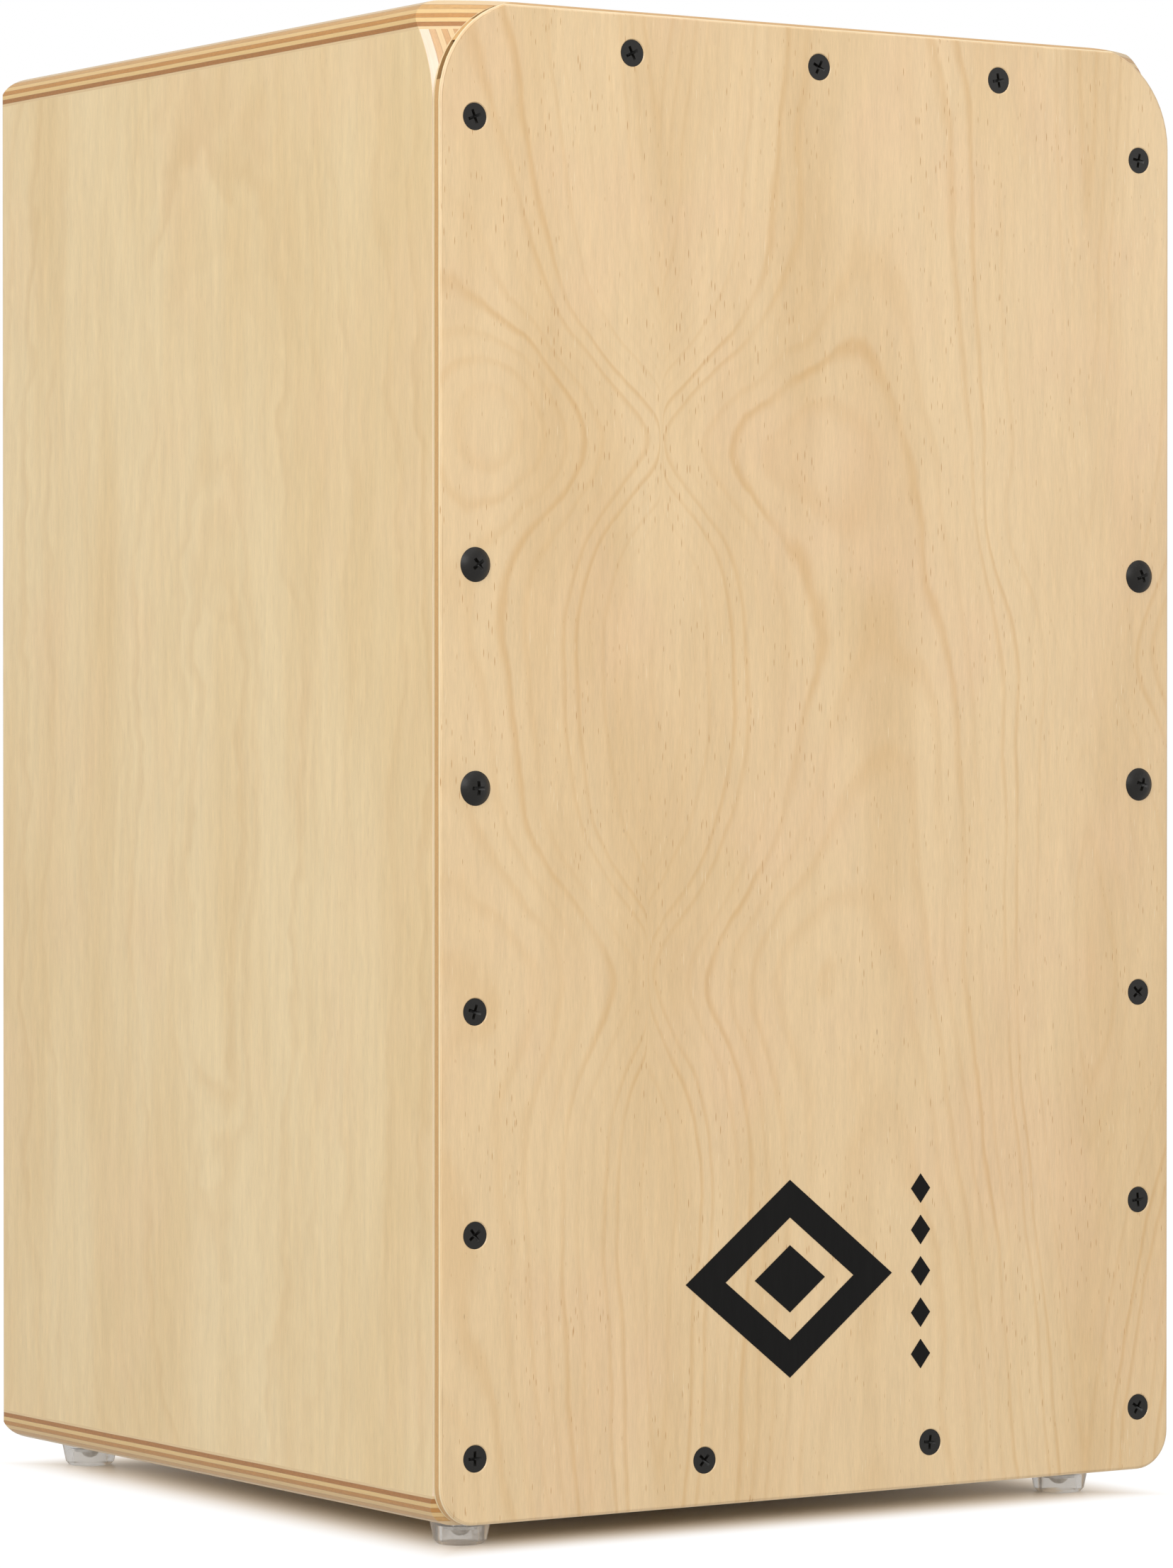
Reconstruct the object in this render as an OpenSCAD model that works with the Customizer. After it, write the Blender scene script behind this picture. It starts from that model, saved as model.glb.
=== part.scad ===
// Cajon: a plywood box drum that the player sits on and strikes on its thin front plate.
// Two V-shaped snare strings lie against the back of the plate. Each one hangs on an eye bolt,
// and a thumb nut under the lower string bar draws the bolt down to tighten the string.
// Millimetres, +Z up. The floor is z = 0, the origin is under the middle of the box,
// the front plate faces -Y, and left and right are as seen from the front.

/* [Box] */
// Outside width
box_w = 298; // [280:1:320]
// Outside depth, front plate included
box_d = 302; // [280:1:320]
// Height of the wooden box, without its feet
box_h = 492; // [470:1:510]
// Radius along the four edges that run from front to back
edge_r = 8; // [4:0.5:9]
// Radius along the top and bottom edges at the rear
rear_r = 9; // [4:0.5:9]
// Radius along the upright edges at the rear
upright_r = 2; // [1:0.5:4]
// Radius along the box's front edges, where they meet the plate
front_r = 0.8; // [0.4:0.1:1.2]
// Slope of the blend that takes the box's edges in to the plate's rounder corners
blend_angle = 47; // [35:1:60]

/* [Panels] */
// Thickness of the top, bottom and side panels
ply_t = 10; // [9:0.5:12]
// Thickness of the back panel
back_t = 6; // [4:0.5:8]
// How far the back panel sits inside the rear edges
back_recess = 3; // [1:0.5:6]
// Gap all round the back panel
back_gap = 0.3; // [0.1:0.1:0.6]
// Diameter of the sound port
port_d = 120; // [90:1:130]
// Height of the sound port's centre above the floor
port_z = 300; // [250:1:330]

/* [Front plate] */
// Thickness of the front plate
plate_t = 4.5; // [3.5:0.5:5]
// Radius of the plate's two top corners
plate_top_r = 34; // [20:1:40]
// Radius of the plate's two bottom corners
plate_bottom_r = 13; // [10:0.5:30]
// Radius worked along the plate's front edge
plate_edge_r = 1.3; // [0.5:0.1:2]
// Radius of the wider round-over along the plate's top edge
top_round_r = 8; // [7:0.5:12]
// Distance of that round-over's centre behind the plate's face
top_round_depth = 5.5; // [5:0.1:6]
// Depth of the two gaps that the core ply shows at the top left corner
core_gap_depth = 1.2; // [0.5:0.1:2]

/* [Front screws] */
// Distance of the side screws from the side of the box
side_screw_inset = 13.2; // [12.5:0.1:16]
// Height of the lowest side screw above the floor
side_screw_z = 31.1; // [26:0.1:34]
// Distance from one side screw to the next
side_screw_pitch = 72; // [70:0.1:73]
// Distance of the top row of screws below the top
top_screw_inset = 14.3; // [12:0.1:16]
// Distance from one top screw to the next
top_screw_pitch = 75; // [60:0.1:80]
// Height of the bottom pair of screws above the underside of the box
bottom_screw_inset = 15.2; // [12.5:0.1:16]
// Distance between the bottom pair of screws
bottom_screw_pitch = 92.5; // [60:0.1:120]
// Head diameter of the countersunk screws
flat_head_d = 8.8; // [7.5:0.1:9.5]
// Head diameter of the domed screws
pan_head_d = 11.5; // [9:0.1:12.5]
// Head height of the domed screws
pan_head_h = 2.4; // [1.8:0.1:3]
// Length of the front screws under the plate's face
front_screw_l = 20; // [16:1:21]

/* [Battens] */
// Side of the square battens behind the front plate
front_batten = 18; // [18:0.5:22]
// Side of the square battens in front of the back panel
rear_batten = 15; // [12:0.5:18]

/* [Snare] */
// Height of the middle of the upper string bar above the floor
upper_bar_z = 400; // [380:1:420]
// Height of the middle of the lower string bar above the floor
lower_bar_z = 76; // [72:1:84]
// Height of each string bar
bar_h = 20; // [18:1:24]
// Thickness of the string bars where they lap over the battens
bar_lap_t = 12; // [10:0.5:14]
// Gap between the front plate and the string bars
bar_gap = 1; // [1:0.1:2]
// Distance of each snare's middle from the middle of the box
snare_x = 45; // [40:1:60]
// Distance of each strand's upper end from its snare's middle
strand_spread = 20; // [12:1:25]
// Diameter of the snare strings
string_d = 0.8; // [0.6:0.1:1]

/* [Tensioner] */
// Thread diameter of the eye bolts
bolt_d = 5; // [4:0.5:6]
// Thread pitch of the eye bolts
bolt_pitch = 0.8; // [0.7:0.05:1]
// Length of the eye bolts under the eye
bolt_l = 54; // [50:1:56]
// Diameter of the wire that forms the eye
eye_wire_d = 3.2; // [2.8:0.1:3.6]
// Diameter of the eye, measured to the middle of its wire
eye_d = 10; // [9:0.5:11]
// Diameter of the thumb nuts
nut_d = 18; // [15:0.5:20]
// Height of the thumb nuts
nut_h = 10; // [8:0.5:12]
// Number of grooves round a thumb nut
nut_grooves = 24; // [18:1:30]

/* [Feet] */
// Height of the feet
foot_h = 9.5; // [8:0.5:14]
// Diameter of the feet where they meet the box
foot_top_d = 21; // [17:0.5:24]
// Diameter of the feet at the floor
foot_bottom_d = 17.5; // [15:0.5:20]
// Distance of each foot's centre from the nearer side of the box
foot_side_inset = 25.5; // [20:0.5:40]
// Distance of the front feet's middles behind the front plate
foot_front_inset = 24.5; // [18:0.5:40]
// Distance of the rear feet's middles in from the rear
foot_rear_inset = 20; // [20:0.5:40]

/* [Emblem] */
// Width of the printed diamond
emblem_w = 84; // [50:1:100]
// Height of the printed diamond
emblem_h = 66; // [40:1:80]
// Thickness of the print
emblem_t = 0.12; // [0.1:0.01:0.2]

/* [Hidden] */
$fn = 64;

veneer = "burlywood";
birch_edge = "tan";
pine = "wheat";
beech = "peru";
black_steel = "dimgray";
bright_steel = "silver";
clear_rubber = "lightgray";

// Left and right as the sign of x, front and rear as the sign of y
left = -1;
right = 1;
front = -1;
rear = 1;

// Planes of the box
floor_side = foot_h;
top_z = foot_h + box_h;
inner_low = floor_side + ply_t;
inner_high = top_z - ply_t;
inner_w = box_w - 2 * ply_t;
inner_h = inner_high - inner_low;
front_y = -box_d / 2;
plate_back_y = front_y + plate_t;
rear_y = box_d / 2;
body_depth = rear_y - plate_back_y;
batten_back_y = plate_back_y + front_batten;
back_front_y = rear_y - back_recess - back_t;

// How far a cutting shape runs past the face that it cuts
overrun = 1;

// Plies of the front plate, and the gaps in its core: where each starts and how far it runs, in
// degrees round the corner, upwards from the plate's left edge
plate_rear_ply = 0.95;
plate_core_ply = 2.3;
core_gaps = [[12, 24], [53, 17]];

// Screws. A recess's span is a share of the head's diameter.
shank_d = 3.6;
hole_clearance = 0.05;
head_sink = 0.3;
flat_rim_h = 0.3;
dome_trim = 0.1;
tip_l = 4;
flat_recess_span = 0.56;
flat_recess_depth = 2;
pan_recess_span = 0.5;
pan_recess_depth = 0.8;
spot_turn = 37;
flat_rows = [0, 1, 2, 6];
pan_rows = [3, 4];
function side_spots(rows) =
    [for (side = [left, right]) for (row = rows)
        [side * (box_w / 2 - side_screw_inset), side_screw_z + row * side_screw_pitch]];
function row_spots(count, pitch, z) =
    [for (i = [0 : count - 1]) [(i - (count - 1) / 2) * pitch, z]];
flat_spots = concat(
    side_spots(flat_rows),
    row_spots(3, top_screw_pitch, top_z - top_screw_inset),
    row_spots(2, bottom_screw_pitch, floor_side + bottom_screw_inset));
pan_spots = side_spots(pan_rows);
back_head_d = 7;
back_screw_l = 18;
back_screw_rows = 4;
back_screw_x = inner_w / 2 - rear_batten / 2;
back_screw_low = inner_low + rear_batten / 2;
back_screw_pitch = (inner_h - rear_batten) / (back_screw_rows - 1);
back_spots = concat(
    [for (side = [left, right]) for (row = [0 : back_screw_rows - 1])
        [side * back_screw_x, back_screw_low + row * back_screw_pitch]],
    [[0, back_screw_low], [0, inner_high - rear_batten / 2]]);

// String bars, strings and tensioners
bar_edge_r = 2;
bar_end_gap = 0.2;
bar_front_y = plate_back_y + bar_gap;
bar_back_y = batten_back_y + bar_lap_t;
bar_screw_l = 22;
bar_screw_head_d = 7;
bar_screw_x = inner_w / 2 - front_batten / 2;
upper_bar_top = upper_bar_z + bar_h / 2;
lower_bar_top = lower_bar_z + bar_h / 2;
lower_bar_low = lower_bar_z - bar_h / 2;
string_gap = 0.05;
anchor_inset = 9;
anchor_y = bar_front_y + anchor_inset;
anchor_head_d = 7;
anchor_head_h = 2.2;
anchor_shank_d = 3.5;
anchor_ring_d = anchor_shank_d + string_d + 4 * string_gap;
anchor_l = 14;
eye_inset = 13;
eye_rise = 14;
eye_y = plate_back_y + eye_inset;
eye_z = lower_bar_top + eye_rise;
bolt_plain_l = 12;
bolt_gap = 0.06;
bolt_hole_d = bolt_d + 0.4;
washer_t = 1;
washer_d = 16;
nut_hub_d = 0.66 * nut_d;
nut_collar_h = 0.35 * nut_h;
nut_chamfer = 0.8;
groove_d = 1.4;

// Feet
foot_web_z = 0.65 * foot_h;
foot_well_d = 12;
foot_hole_d = 4.2;
foot_chamfer = 1.2;
foot_washer_d = 11;
foot_washer_t = 1;
foot_head_d = 6.8;
foot_head_h = 2.2;
foot_screw_l = 12;

// Emblem: where its middle is, the shares of its size that the inner diamonds take, and the
// column of small diamonds beside it
emblem_x = -12;
emblem_z = 83;
gap_share = 0.62;
core_share = 0.34;
column_x = 54;
column_count = 5;
column_pitch = 14;
small_w = 8;
small_h = 10;

// ---- Shapes shared by several parts ----

// Upright rectangle centred on x and standing on y = 0, with its own radii below and above
module rounded_rect(w, h, low_r, high_r) {
    translate([-w / 2, low_r]) square([w, h - low_r - high_r]);
    translate([-w / 2 + low_r, 0]) square([w - 2 * low_r, h - high_r]);
    translate([-w / 2 + high_r, low_r]) square([w - 2 * high_r, h - low_r]);
    for (side = [left, right]) {
        translate([side * (w / 2 - low_r), low_r]) circle(r = low_r);
        translate([side * (w / 2 - high_r), h - high_r]) circle(r = high_r);
    }
}

// Stands a flat outline up in the XZ plane at y_from and thickens it towards the rear
module facing_front(y_from, depth) {
    translate([0, y_from + depth, 0]) rotate([90, 0, 0]) linear_extrude(depth) children();
}

// Stands a flat outline up in the YZ plane and thickens it along x, centred on x = 0
module facing_side(width) {
    translate([-width / 2, 0, 0]) rotate([90, 0, 90]) linear_extrude(width) children();
}

// What is sanded off one corner of the box so that it meets a plate corner of radius r.
// A cone about the plate corner's own centre starts a little inside radius r and opens towards
// the rear, until it has passed the box's rounded edge.
module corner_blend(side, level, r) {
    start_r = r - front_r / 2;
    reach = (r - edge_r) * sqrt(2) + edge_r;
    slope = 1 / tan(blend_angle);
    length = (reach - start_r) / slope + overrun;
    centre_z = level > 0 ? top_z - r : floor_side + r;
    translate([side * (box_w / 2 - r), plate_back_y, centre_z]) difference() {
        translate([side > 0 ? 0 : -reach, -overrun, level > 0 ? 0 : -reach])
            cube([reach, length + overrun, reach]);
        translate([0, -overrun, 0]) rotate([-90, 0, 0]) cylinder(
            h = length + overrun,
            r1 = start_r - slope * overrun, r2 = start_r + slope * length);
    }
}

// Outer form of the whole box behind the front plate
module box_form() {
    difference() {
        intersection() {
            translate([0, 0, floor_side]) facing_front(plate_back_y, body_depth)
                rounded_rect(box_w, box_h, edge_r, edge_r);
            translate([0, plate_back_y, floor_side + box_h / 2]) facing_side(box_w) rotate(-90)
                rounded_rect(box_h, body_depth, front_r, rear_r);
            translate([0, plate_back_y, floor_side]) linear_extrude(box_h)
                rounded_rect(box_w, body_depth, front_r, upright_r);
        }
        for (side = [left, right]) {
            corner_blend(side, 1, plate_top_r);
            corner_blend(side, -1, plate_bottom_r);
        }
    }
}

// Keeps only what lies inside the outer form of the box
module inside_box() {
    intersection() {
        children();
        box_form();
    }
}

// Puts the children at each spot on the front or the rear face, pointing into the box,
// each turned its own way as screws are
module at_spots(spots, face, y) {
    for (i = [0 : len(spots) - 1])
        translate([spots[i].x, y, spots[i].y]) rotate([-90 * face, 0, 0]) rotate(spot_turn * i)
            children();
}

// Cross-shaped driver recess cut down from z = 0, its arms closing in towards the bottom
module cross_recess(span, depth) {
    arm_w = span / 5;
    cone_h = 1.3 * depth;
    intersection() {
        translate([0, 0, -depth]) linear_extrude(depth + overrun) {
            square([span, arm_w], center = true);
            square([arm_w, span], center = true);
        }
        translate([0, 0, -cone_h]) cylinder(h = cone_h + overrun, d1 = 0.1, d2 = span + 2);
    }
}

// Countersunk wood screw with its head's face at z = 0 and its point down
module flat_screw(head_d, length) {
    cone_l = (head_d - shank_d) / 2;
    difference() {
        rotate_extrude() polygon([
            [0, 0], [head_d / 2, 0], [head_d / 2, -flat_rim_h],
            [shank_d / 2, -flat_rim_h - cone_l], [shank_d / 2, tip_l - length], [0, -length]]);
        cross_recess(flat_recess_span * head_d, flat_recess_depth);
    }
}

// Hole and countersink for a flat screw whose head sits a little below the surface
module flat_screw_hole(head_d, length) {
    mouth_r = head_d / 2 + hole_clearance;
    hole_r = shank_d / 2 + hole_clearance;
    cone_top = -head_sink - flat_rim_h;
    rotate_extrude() polygon([
        [0, overrun], [mouth_r + head_sink, overrun], [mouth_r + head_sink, 0],
        [mouth_r, -head_sink], [mouth_r, cone_top],
        [hole_r, cone_top - mouth_r + shank_d / 2], [hole_r, tip_l - length - head_sink],
        [0, -length - head_sink - hole_clearance]]);
}

// Domed screw whose head stands on z = 0, with its point down
module pan_screw(head_d, head_h, stem_d, length) {
    dome_r = (head_d * head_d / 4 + head_h * head_h) / (2 * head_h);
    join_h = head_h / 4;
    difference() {
        union() {
            intersection() {
                translate([0, 0, head_h - dome_r]) sphere(r = dome_r);
                cylinder(h = head_h, r = head_d / 2 - dome_trim);
            }
            rotate_extrude() polygon([
                [0, join_h], [stem_d / 2, join_h], [stem_d / 2, tip_l - length], [0, -length]]);
        }
        translate([0, 0, head_h])
            cross_recess(pan_recess_span * head_d, pan_recess_depth * head_h);
    }
}

// Pilot hole under a domed screw
module pan_screw_hole(stem_d, length) {
    hole_r = stem_d / 2 + hole_clearance;
    rotate_extrude() polygon([
        [0, overrun], [hole_r, overrun], [hole_r, tip_l - length], [0, -length - hole_clearance]]);
}

// All the holes that the front screws make in the plate and in the battens
module front_screw_holes() {
    at_spots(flat_spots, front, front_y) flat_screw_hole(flat_head_d, front_screw_l);
    at_spots(pan_spots, front, front_y) pan_screw_hole(shank_d, front_screw_l);
}

module back_screw_holes() {
    at_spots(back_spots, rear, rear_y - back_recess) flat_screw_hole(back_head_d, back_screw_l);
}

// Round washer standing on z = 0
module washer(outer_d, hole_d, thickness) {
    linear_extrude(thickness) difference() {
        circle(d = outer_d);
        circle(d = hole_d);
    }
}

// ---- Panels ----

module side_panel(side) {
    color(veneer) inside_box()
        translate([side > 0 ? inner_w / 2 : -box_w / 2, plate_back_y, inner_low])
            cube([ply_t, body_depth, inner_h]);
}

module left_panel() {
    side_panel(left);
}

module right_panel() {
    side_panel(right);
}

module top_panel() {
    color(birch_edge) inside_box()
        translate([-box_w / 2, plate_back_y, inner_high]) cube([box_w, body_depth, ply_t]);
}

module bottom_panel() {
    color(birch_edge) difference() {
        inside_box()
            translate([-box_w / 2, plate_back_y, floor_side]) cube([box_w, body_depth, ply_t]);
        for (side = [left, right]) for (end = [front, rear])
            at_foot(side, end) pan_screw_hole(shank_d, foot_screw_l);
    }
}

module back_panel() {
    color(veneer) difference() {
        translate([-inner_w / 2 + back_gap, back_front_y, inner_low + back_gap])
            cube([inner_w - 2 * back_gap, back_t, inner_h - 2 * back_gap]);
        translate([0, back_front_y - overrun, port_z]) rotate([-90, 0, 0])
            cylinder(h = back_t + 2 * overrun, d = port_d);
        back_screw_holes();
    }
}

// Cross-section of the plate out to a rounded edge at x = reach, with its back at y = 0
module edge_profile(reach) {
    square([reach, plate_t - plate_edge_r]);
    square([reach - plate_edge_r, plate_t]);
    translate([reach - plate_edge_r, plate_t - plate_edge_r]) circle(r = plate_edge_r);
}

// One end of the plate, lying on its back: a straight band between two quarter-round corners
module plate_end(r) {
    length = box_w - 2 * r;
    translate([-length / 2, 0, 0]) rotate([90, 0, 90]) linear_extrude(length) edge_profile(r);
    translate([length / 2, 0, 0]) rotate_extrude(angle = 90) edge_profile(r);
    translate([-length / 2, 0, 0]) rotate(90) rotate_extrude(angle = 90) edge_profile(r);
}

// What the wider round-over takes off the plate's top edge, along its whole width
module top_round() {
    cut_h = top_round_r + overrun;
    cut_w = box_w + 2 * overrun;
    translate([0, front_y + top_round_depth, top_z - top_round_r]) difference() {
        translate([-cut_w / 2, -cut_h, 0]) cube([cut_w, cut_h, cut_h]);
        rotate([0, 90, 0]) cylinder(h = cut_w + 2, r = top_round_r, center = true);
    }
}

// The gaps in the edge of the core ply, round the top left corner
module core_gap_cuts() {
    translate([left * (box_w / 2 - plate_top_r), plate_back_y - plate_rear_ply, top_z - plate_top_r])
        rotate([90, 0, 0]) for (gap = core_gaps)
            rotate(180 - gap[0] - gap[1]) rotate_extrude(angle = gap[1])
                translate([plate_top_r - core_gap_depth, 0])
                    square([core_gap_depth + overrun, plate_core_ply]);
}

// Plate with a round worked along its whole front edge
module front_plate() {
    upright_l = box_h - plate_top_r - plate_bottom_r;
    color(veneer) difference() {
        translate([0, plate_back_y, floor_side + plate_bottom_r]) rotate([90, 0, 0]) {
            translate([0, upright_l, 0]) {
                rotate([90, 0, 0]) linear_extrude(upright_l) {
                    edge_profile(box_w / 2);
                    mirror([1, 0]) edge_profile(box_w / 2);
                }
                plate_end(plate_top_r);
            }
            rotate(180) plate_end(plate_bottom_r);
        }
        top_round();
        core_gap_cuts();
        front_screw_holes();
    }
}

// ---- Battens ----

module front_batten_upright(side) {
    color(pine) difference() {
        inside_box()
            translate([side > 0 ? inner_w / 2 - front_batten : -inner_w / 2, plate_back_y, inner_low])
                cube([front_batten, front_batten, inner_h]);
        front_screw_holes();
        bar_screw_holes();
    }
}

module front_batten_left() {
    front_batten_upright(left);
}

module front_batten_right() {
    front_batten_upright(right);
}

module front_batten_across(z) {
    length = inner_w - 2 * front_batten;
    color(pine) difference() {
        translate([-length / 2, plate_back_y, z]) cube([length, front_batten, front_batten]);
        front_screw_holes();
    }
}

module front_batten_top() {
    front_batten_across(inner_high - front_batten);
}

module front_batten_bottom() {
    front_batten_across(inner_low);
}

module rear_batten_upright(side) {
    color(pine) difference() {
        translate([side > 0 ? inner_w / 2 - rear_batten : -inner_w / 2,
            back_front_y - rear_batten, inner_low])
            cube([rear_batten, rear_batten, inner_h]);
        back_screw_holes();
    }
}

module rear_batten_left() {
    rear_batten_upright(left);
}

module rear_batten_right() {
    rear_batten_upright(right);
}

module rear_batten_across(z) {
    length = inner_w - 2 * rear_batten;
    color(pine) difference() {
        translate([-length / 2, back_front_y - rear_batten, z])
            cube([length, rear_batten, rear_batten]);
        back_screw_holes();
    }
}

module rear_batten_top() {
    rear_batten_across(inner_high - rear_batten);
}

module rear_batten_bottom() {
    rear_batten_across(inner_low);
}

// ---- Snare ----

// Bar across the box, close behind the plate, with its ends lapped over the upright battens
module string_bar(z) {
    depth = bar_back_y - bar_front_y;
    notch_x = inner_w / 2 - front_batten - bar_end_gap;
    difference() {
        translate([0, (bar_front_y + bar_back_y) / 2, z - bar_h / 2])
            facing_side(inner_w - 2 * bar_end_gap)
                rounded_rect(depth, bar_h, bar_edge_r, bar_edge_r);
        for (side = [left, right])
            translate([side > 0 ? notch_x : -notch_x - front_batten,
                bar_front_y - overrun, z - bar_h])
                cube([front_batten, batten_back_y - bar_front_y + overrun, 2 * bar_h]);
        bar_screw_holes();
    }
}

bar_screw_spots =
    [for (side = [left, right]) for (z = [lower_bar_z, upper_bar_z]) [side * bar_screw_x, z]];

module bar_screw_holes() {
    at_spots(bar_screw_spots, rear, bar_back_y) flat_screw_hole(bar_screw_head_d, bar_screw_l);
}

module upper_string_bar() {
    color(beech) difference() {
        string_bar(upper_bar_z);
        at_anchors() pan_screw_hole(anchor_shank_d, anchor_l);
    }
}

module lower_string_bar() {
    color(beech) difference() {
        string_bar(lower_bar_z);
        for (side = [left, right])
            translate([side * snare_x, eye_y, lower_bar_low - overrun])
                cylinder(h = bar_h + 2 * overrun, d = bolt_hole_d);
    }
}

module string_bar_screws() {
    color(black_steel) at_spots(bar_screw_spots, rear, bar_back_y - head_sink)
        flat_screw(bar_screw_head_d, bar_screw_l);
}

// The four places on top of the upper bar where the strands end
module at_anchors() {
    for (side = [left, right]) for (strand = [left, right])
        translate([side * snare_x + strand * strand_spread, anchor_y, upper_bar_top])
            rotate(25 * side + 40 * strand) children();
}

// The heads stand clear of the bar by the thickness of the string's end loop
module string_anchor_screws() {
    lift = string_d + 3 * string_gap;
    color(bright_steel) at_anchors() translate([0, 0, lift])
        pan_screw(anchor_head_d, anchor_head_h, anchor_shank_d, anchor_l);
}

// Straight round wire from one point to another
module rod(from, to, d) {
    run = to - from;
    translate(from) rotate([0, acos(run.z / norm(run)), atan2(run.y, run.x)])
        cylinder(h = norm(run), d = d);
}

// One strand: a loop round its anchor, a run over the rounded edge of the upper bar and down the
// bar's front, and a slanting run to the eye. A ball marks each sharp bend.
module strand(x, eye_end) {
    ball_d = 1.2 * string_d;
    bend_r = bar_edge_r + string_d / 2 + string_gap;
    bend_y = bar_front_y + bar_edge_r;
    bend_z = upper_bar_top - bar_edge_r;
    low_bend = [x, bend_y - bend_r, upper_bar_z - bar_h / 2 + 1];
    translate([x, anchor_y, bend_z + bend_r])
        rotate_extrude() translate([anchor_ring_d / 2, 0]) circle(d = string_d);
    translate([x, bend_y, bend_z]) {
        translate([0, 0, bend_r]) rotate([-90, 0, 0])
            cylinder(h = anchor_y - bend_y - anchor_ring_d / 2, d = string_d);
        rotate([90, 0, 90]) rotate(90)
            rotate_extrude(angle = 90) translate([bend_r, 0]) circle(d = string_d);
    }
    rod(low_bend, [x, bend_y - bend_r, bend_z], string_d);
    rod(low_bend, eye_end, string_d);
    translate(low_bend) sphere(d = ball_d);
    translate(eye_end) sphere(d = ball_d);
}

// A string is one wire: two strands joined by a half turn under the top of the eye
module snare_string(side) {
    x = side * snare_x;
    turn_r = (eye_wire_d + string_d) / 2 + 3 * string_gap;
    turn_z = eye_z + eye_d / 2;
    color(bright_steel) {
        for (end = [left, right])
            strand(x + end * strand_spread, [x + end * turn_r, eye_y, turn_z]);
        translate([x, eye_y, turn_z]) rotate([-90, 0, 0])
            rotate_extrude(angle = 180) translate([turn_r, 0]) circle(d = string_d);
    }
}

module snare_string_left() {
    snare_string(left);
}

module snare_string_right() {
    snare_string(right);
}

// ---- Tensioners ----

// Screw thread drawn as a stack of sharp rings from z = 0 down
module ring_thread(d, pitch, length) {
    turns = floor(length / pitch);
    root_r = d / 2 - 0.6 * pitch;
    tip_r = root_r - 0.5;
    rotate_extrude() polygon(concat(
        [[0, 0]],
        [for (i = [0 : turns - 1]) each
            [[root_r, -i * pitch], [d / 2, -(i + 0.5) * pitch]]],
        [[root_r, -turns * pitch], [tip_r, -length], [0, -length]]));
}

// Eye in the YZ plane, so that a string can pass through it from left to right
module eye_bolt(side) {
    plain_d = bolt_d - 0.3;
    color(bright_steel) translate([side * snare_x, eye_y, eye_z]) {
        rotate([0, 90, 0]) rotate_extrude() translate([eye_d / 2, 0]) circle(d = eye_wire_d);
        translate([0, 0, -eye_d / 2 - bolt_plain_l]) {
            cylinder(h = bolt_plain_l, d = plain_d);
            ring_thread(bolt_d, bolt_pitch, bolt_l - bolt_plain_l);
        }
    }
}

module eye_bolt_left() {
    eye_bolt(left);
}

module eye_bolt_right() {
    eye_bolt(right);
}

// Knurled knob with a plain collar that bears on the washer
module thumb_nut(side) {
    knob_h = nut_h - nut_collar_h;
    groove_x = nut_d / 2 + 0.2 * groove_d;
    color(bright_steel)
        translate([side * snare_x, eye_y, lower_bar_low - washer_t - string_gap - nut_h])
            difference() {
                union() {
                    cylinder(h = nut_h, d = nut_hub_d);
                    rotate_extrude() polygon([
                        [0, 0], [nut_d / 2 - nut_chamfer, 0], [nut_d / 2, nut_chamfer],
                        [nut_d / 2, knob_h - nut_chamfer],
                        [nut_d / 2 - nut_chamfer, knob_h], [0, knob_h]]);
                }
                translate([0, 0, -overrun])
                    cylinder(h = nut_h + 2 * overrun, d = bolt_d + 2 * bolt_gap);
                for (i = [0 : nut_grooves - 1])
                    rotate(360 / nut_grooves * i) translate([groove_x, 0, -overrun])
                        cylinder(h = knob_h + 2 * overrun, d = groove_d);
            }
}

module thumb_nut_left() {
    thumb_nut(left);
}

module thumb_nut_right() {
    thumb_nut(right);
}

module thumb_nut_washers() {
    color(bright_steel) for (side = [left, right])
        translate([side * snare_x, eye_y, lower_bar_low - washer_t])
            washer(washer_d, bolt_hole_d, washer_t);
}

// ---- Screws ----

module front_flat_screws() {
    color(black_steel) at_spots(flat_spots, front, front_y + head_sink)
        flat_screw(flat_head_d, front_screw_l);
}

module front_pan_screws() {
    color(black_steel) at_spots(pan_spots, front, front_y)
        pan_screw(pan_head_d, pan_head_h, shank_d, front_screw_l);
}

module back_panel_screws() {
    color(black_steel) at_spots(back_spots, rear, rear_y - back_recess - head_sink)
        flat_screw(back_head_d, back_screw_l);
}

// ---- Feet ----

// The place of one foot, with z = 0 on the underside of the box and +z towards the floor
module at_foot(side, end) {
    y = end > 0 ? rear_y - foot_rear_inset : plate_back_y + foot_front_inset;
    translate([side * (box_w / 2 - foot_side_inset), y, foot_h]) rotate([180, 0, 0]) children();
}

// Tapered bumper with a well from below for the head of its screw
module foot(side, end) {
    web_t = foot_h - foot_web_z;
    color(clear_rubber, 0.6) at_foot(side, end) rotate_extrude() polygon([
        [foot_hole_d / 2, 0], [foot_top_d / 2, 0],
        [foot_bottom_d / 2, foot_h - foot_chamfer],
        [foot_bottom_d / 2 - foot_chamfer, foot_h],
        [foot_well_d / 2, foot_h], [foot_well_d / 2, web_t], [foot_hole_d / 2, web_t]]);
}

module foot_front_left() {
    foot(left, front);
}

module foot_front_right() {
    foot(right, front);
}

module foot_rear_left() {
    foot(left, rear);
}

module foot_rear_right() {
    foot(right, rear);
}

module foot_washers() {
    color(bright_steel) for (side = [left, right]) for (end = [front, rear])
        at_foot(side, end) translate([0, 0, foot_h - foot_web_z])
            washer(foot_washer_d, foot_hole_d, foot_washer_t);
}

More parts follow.
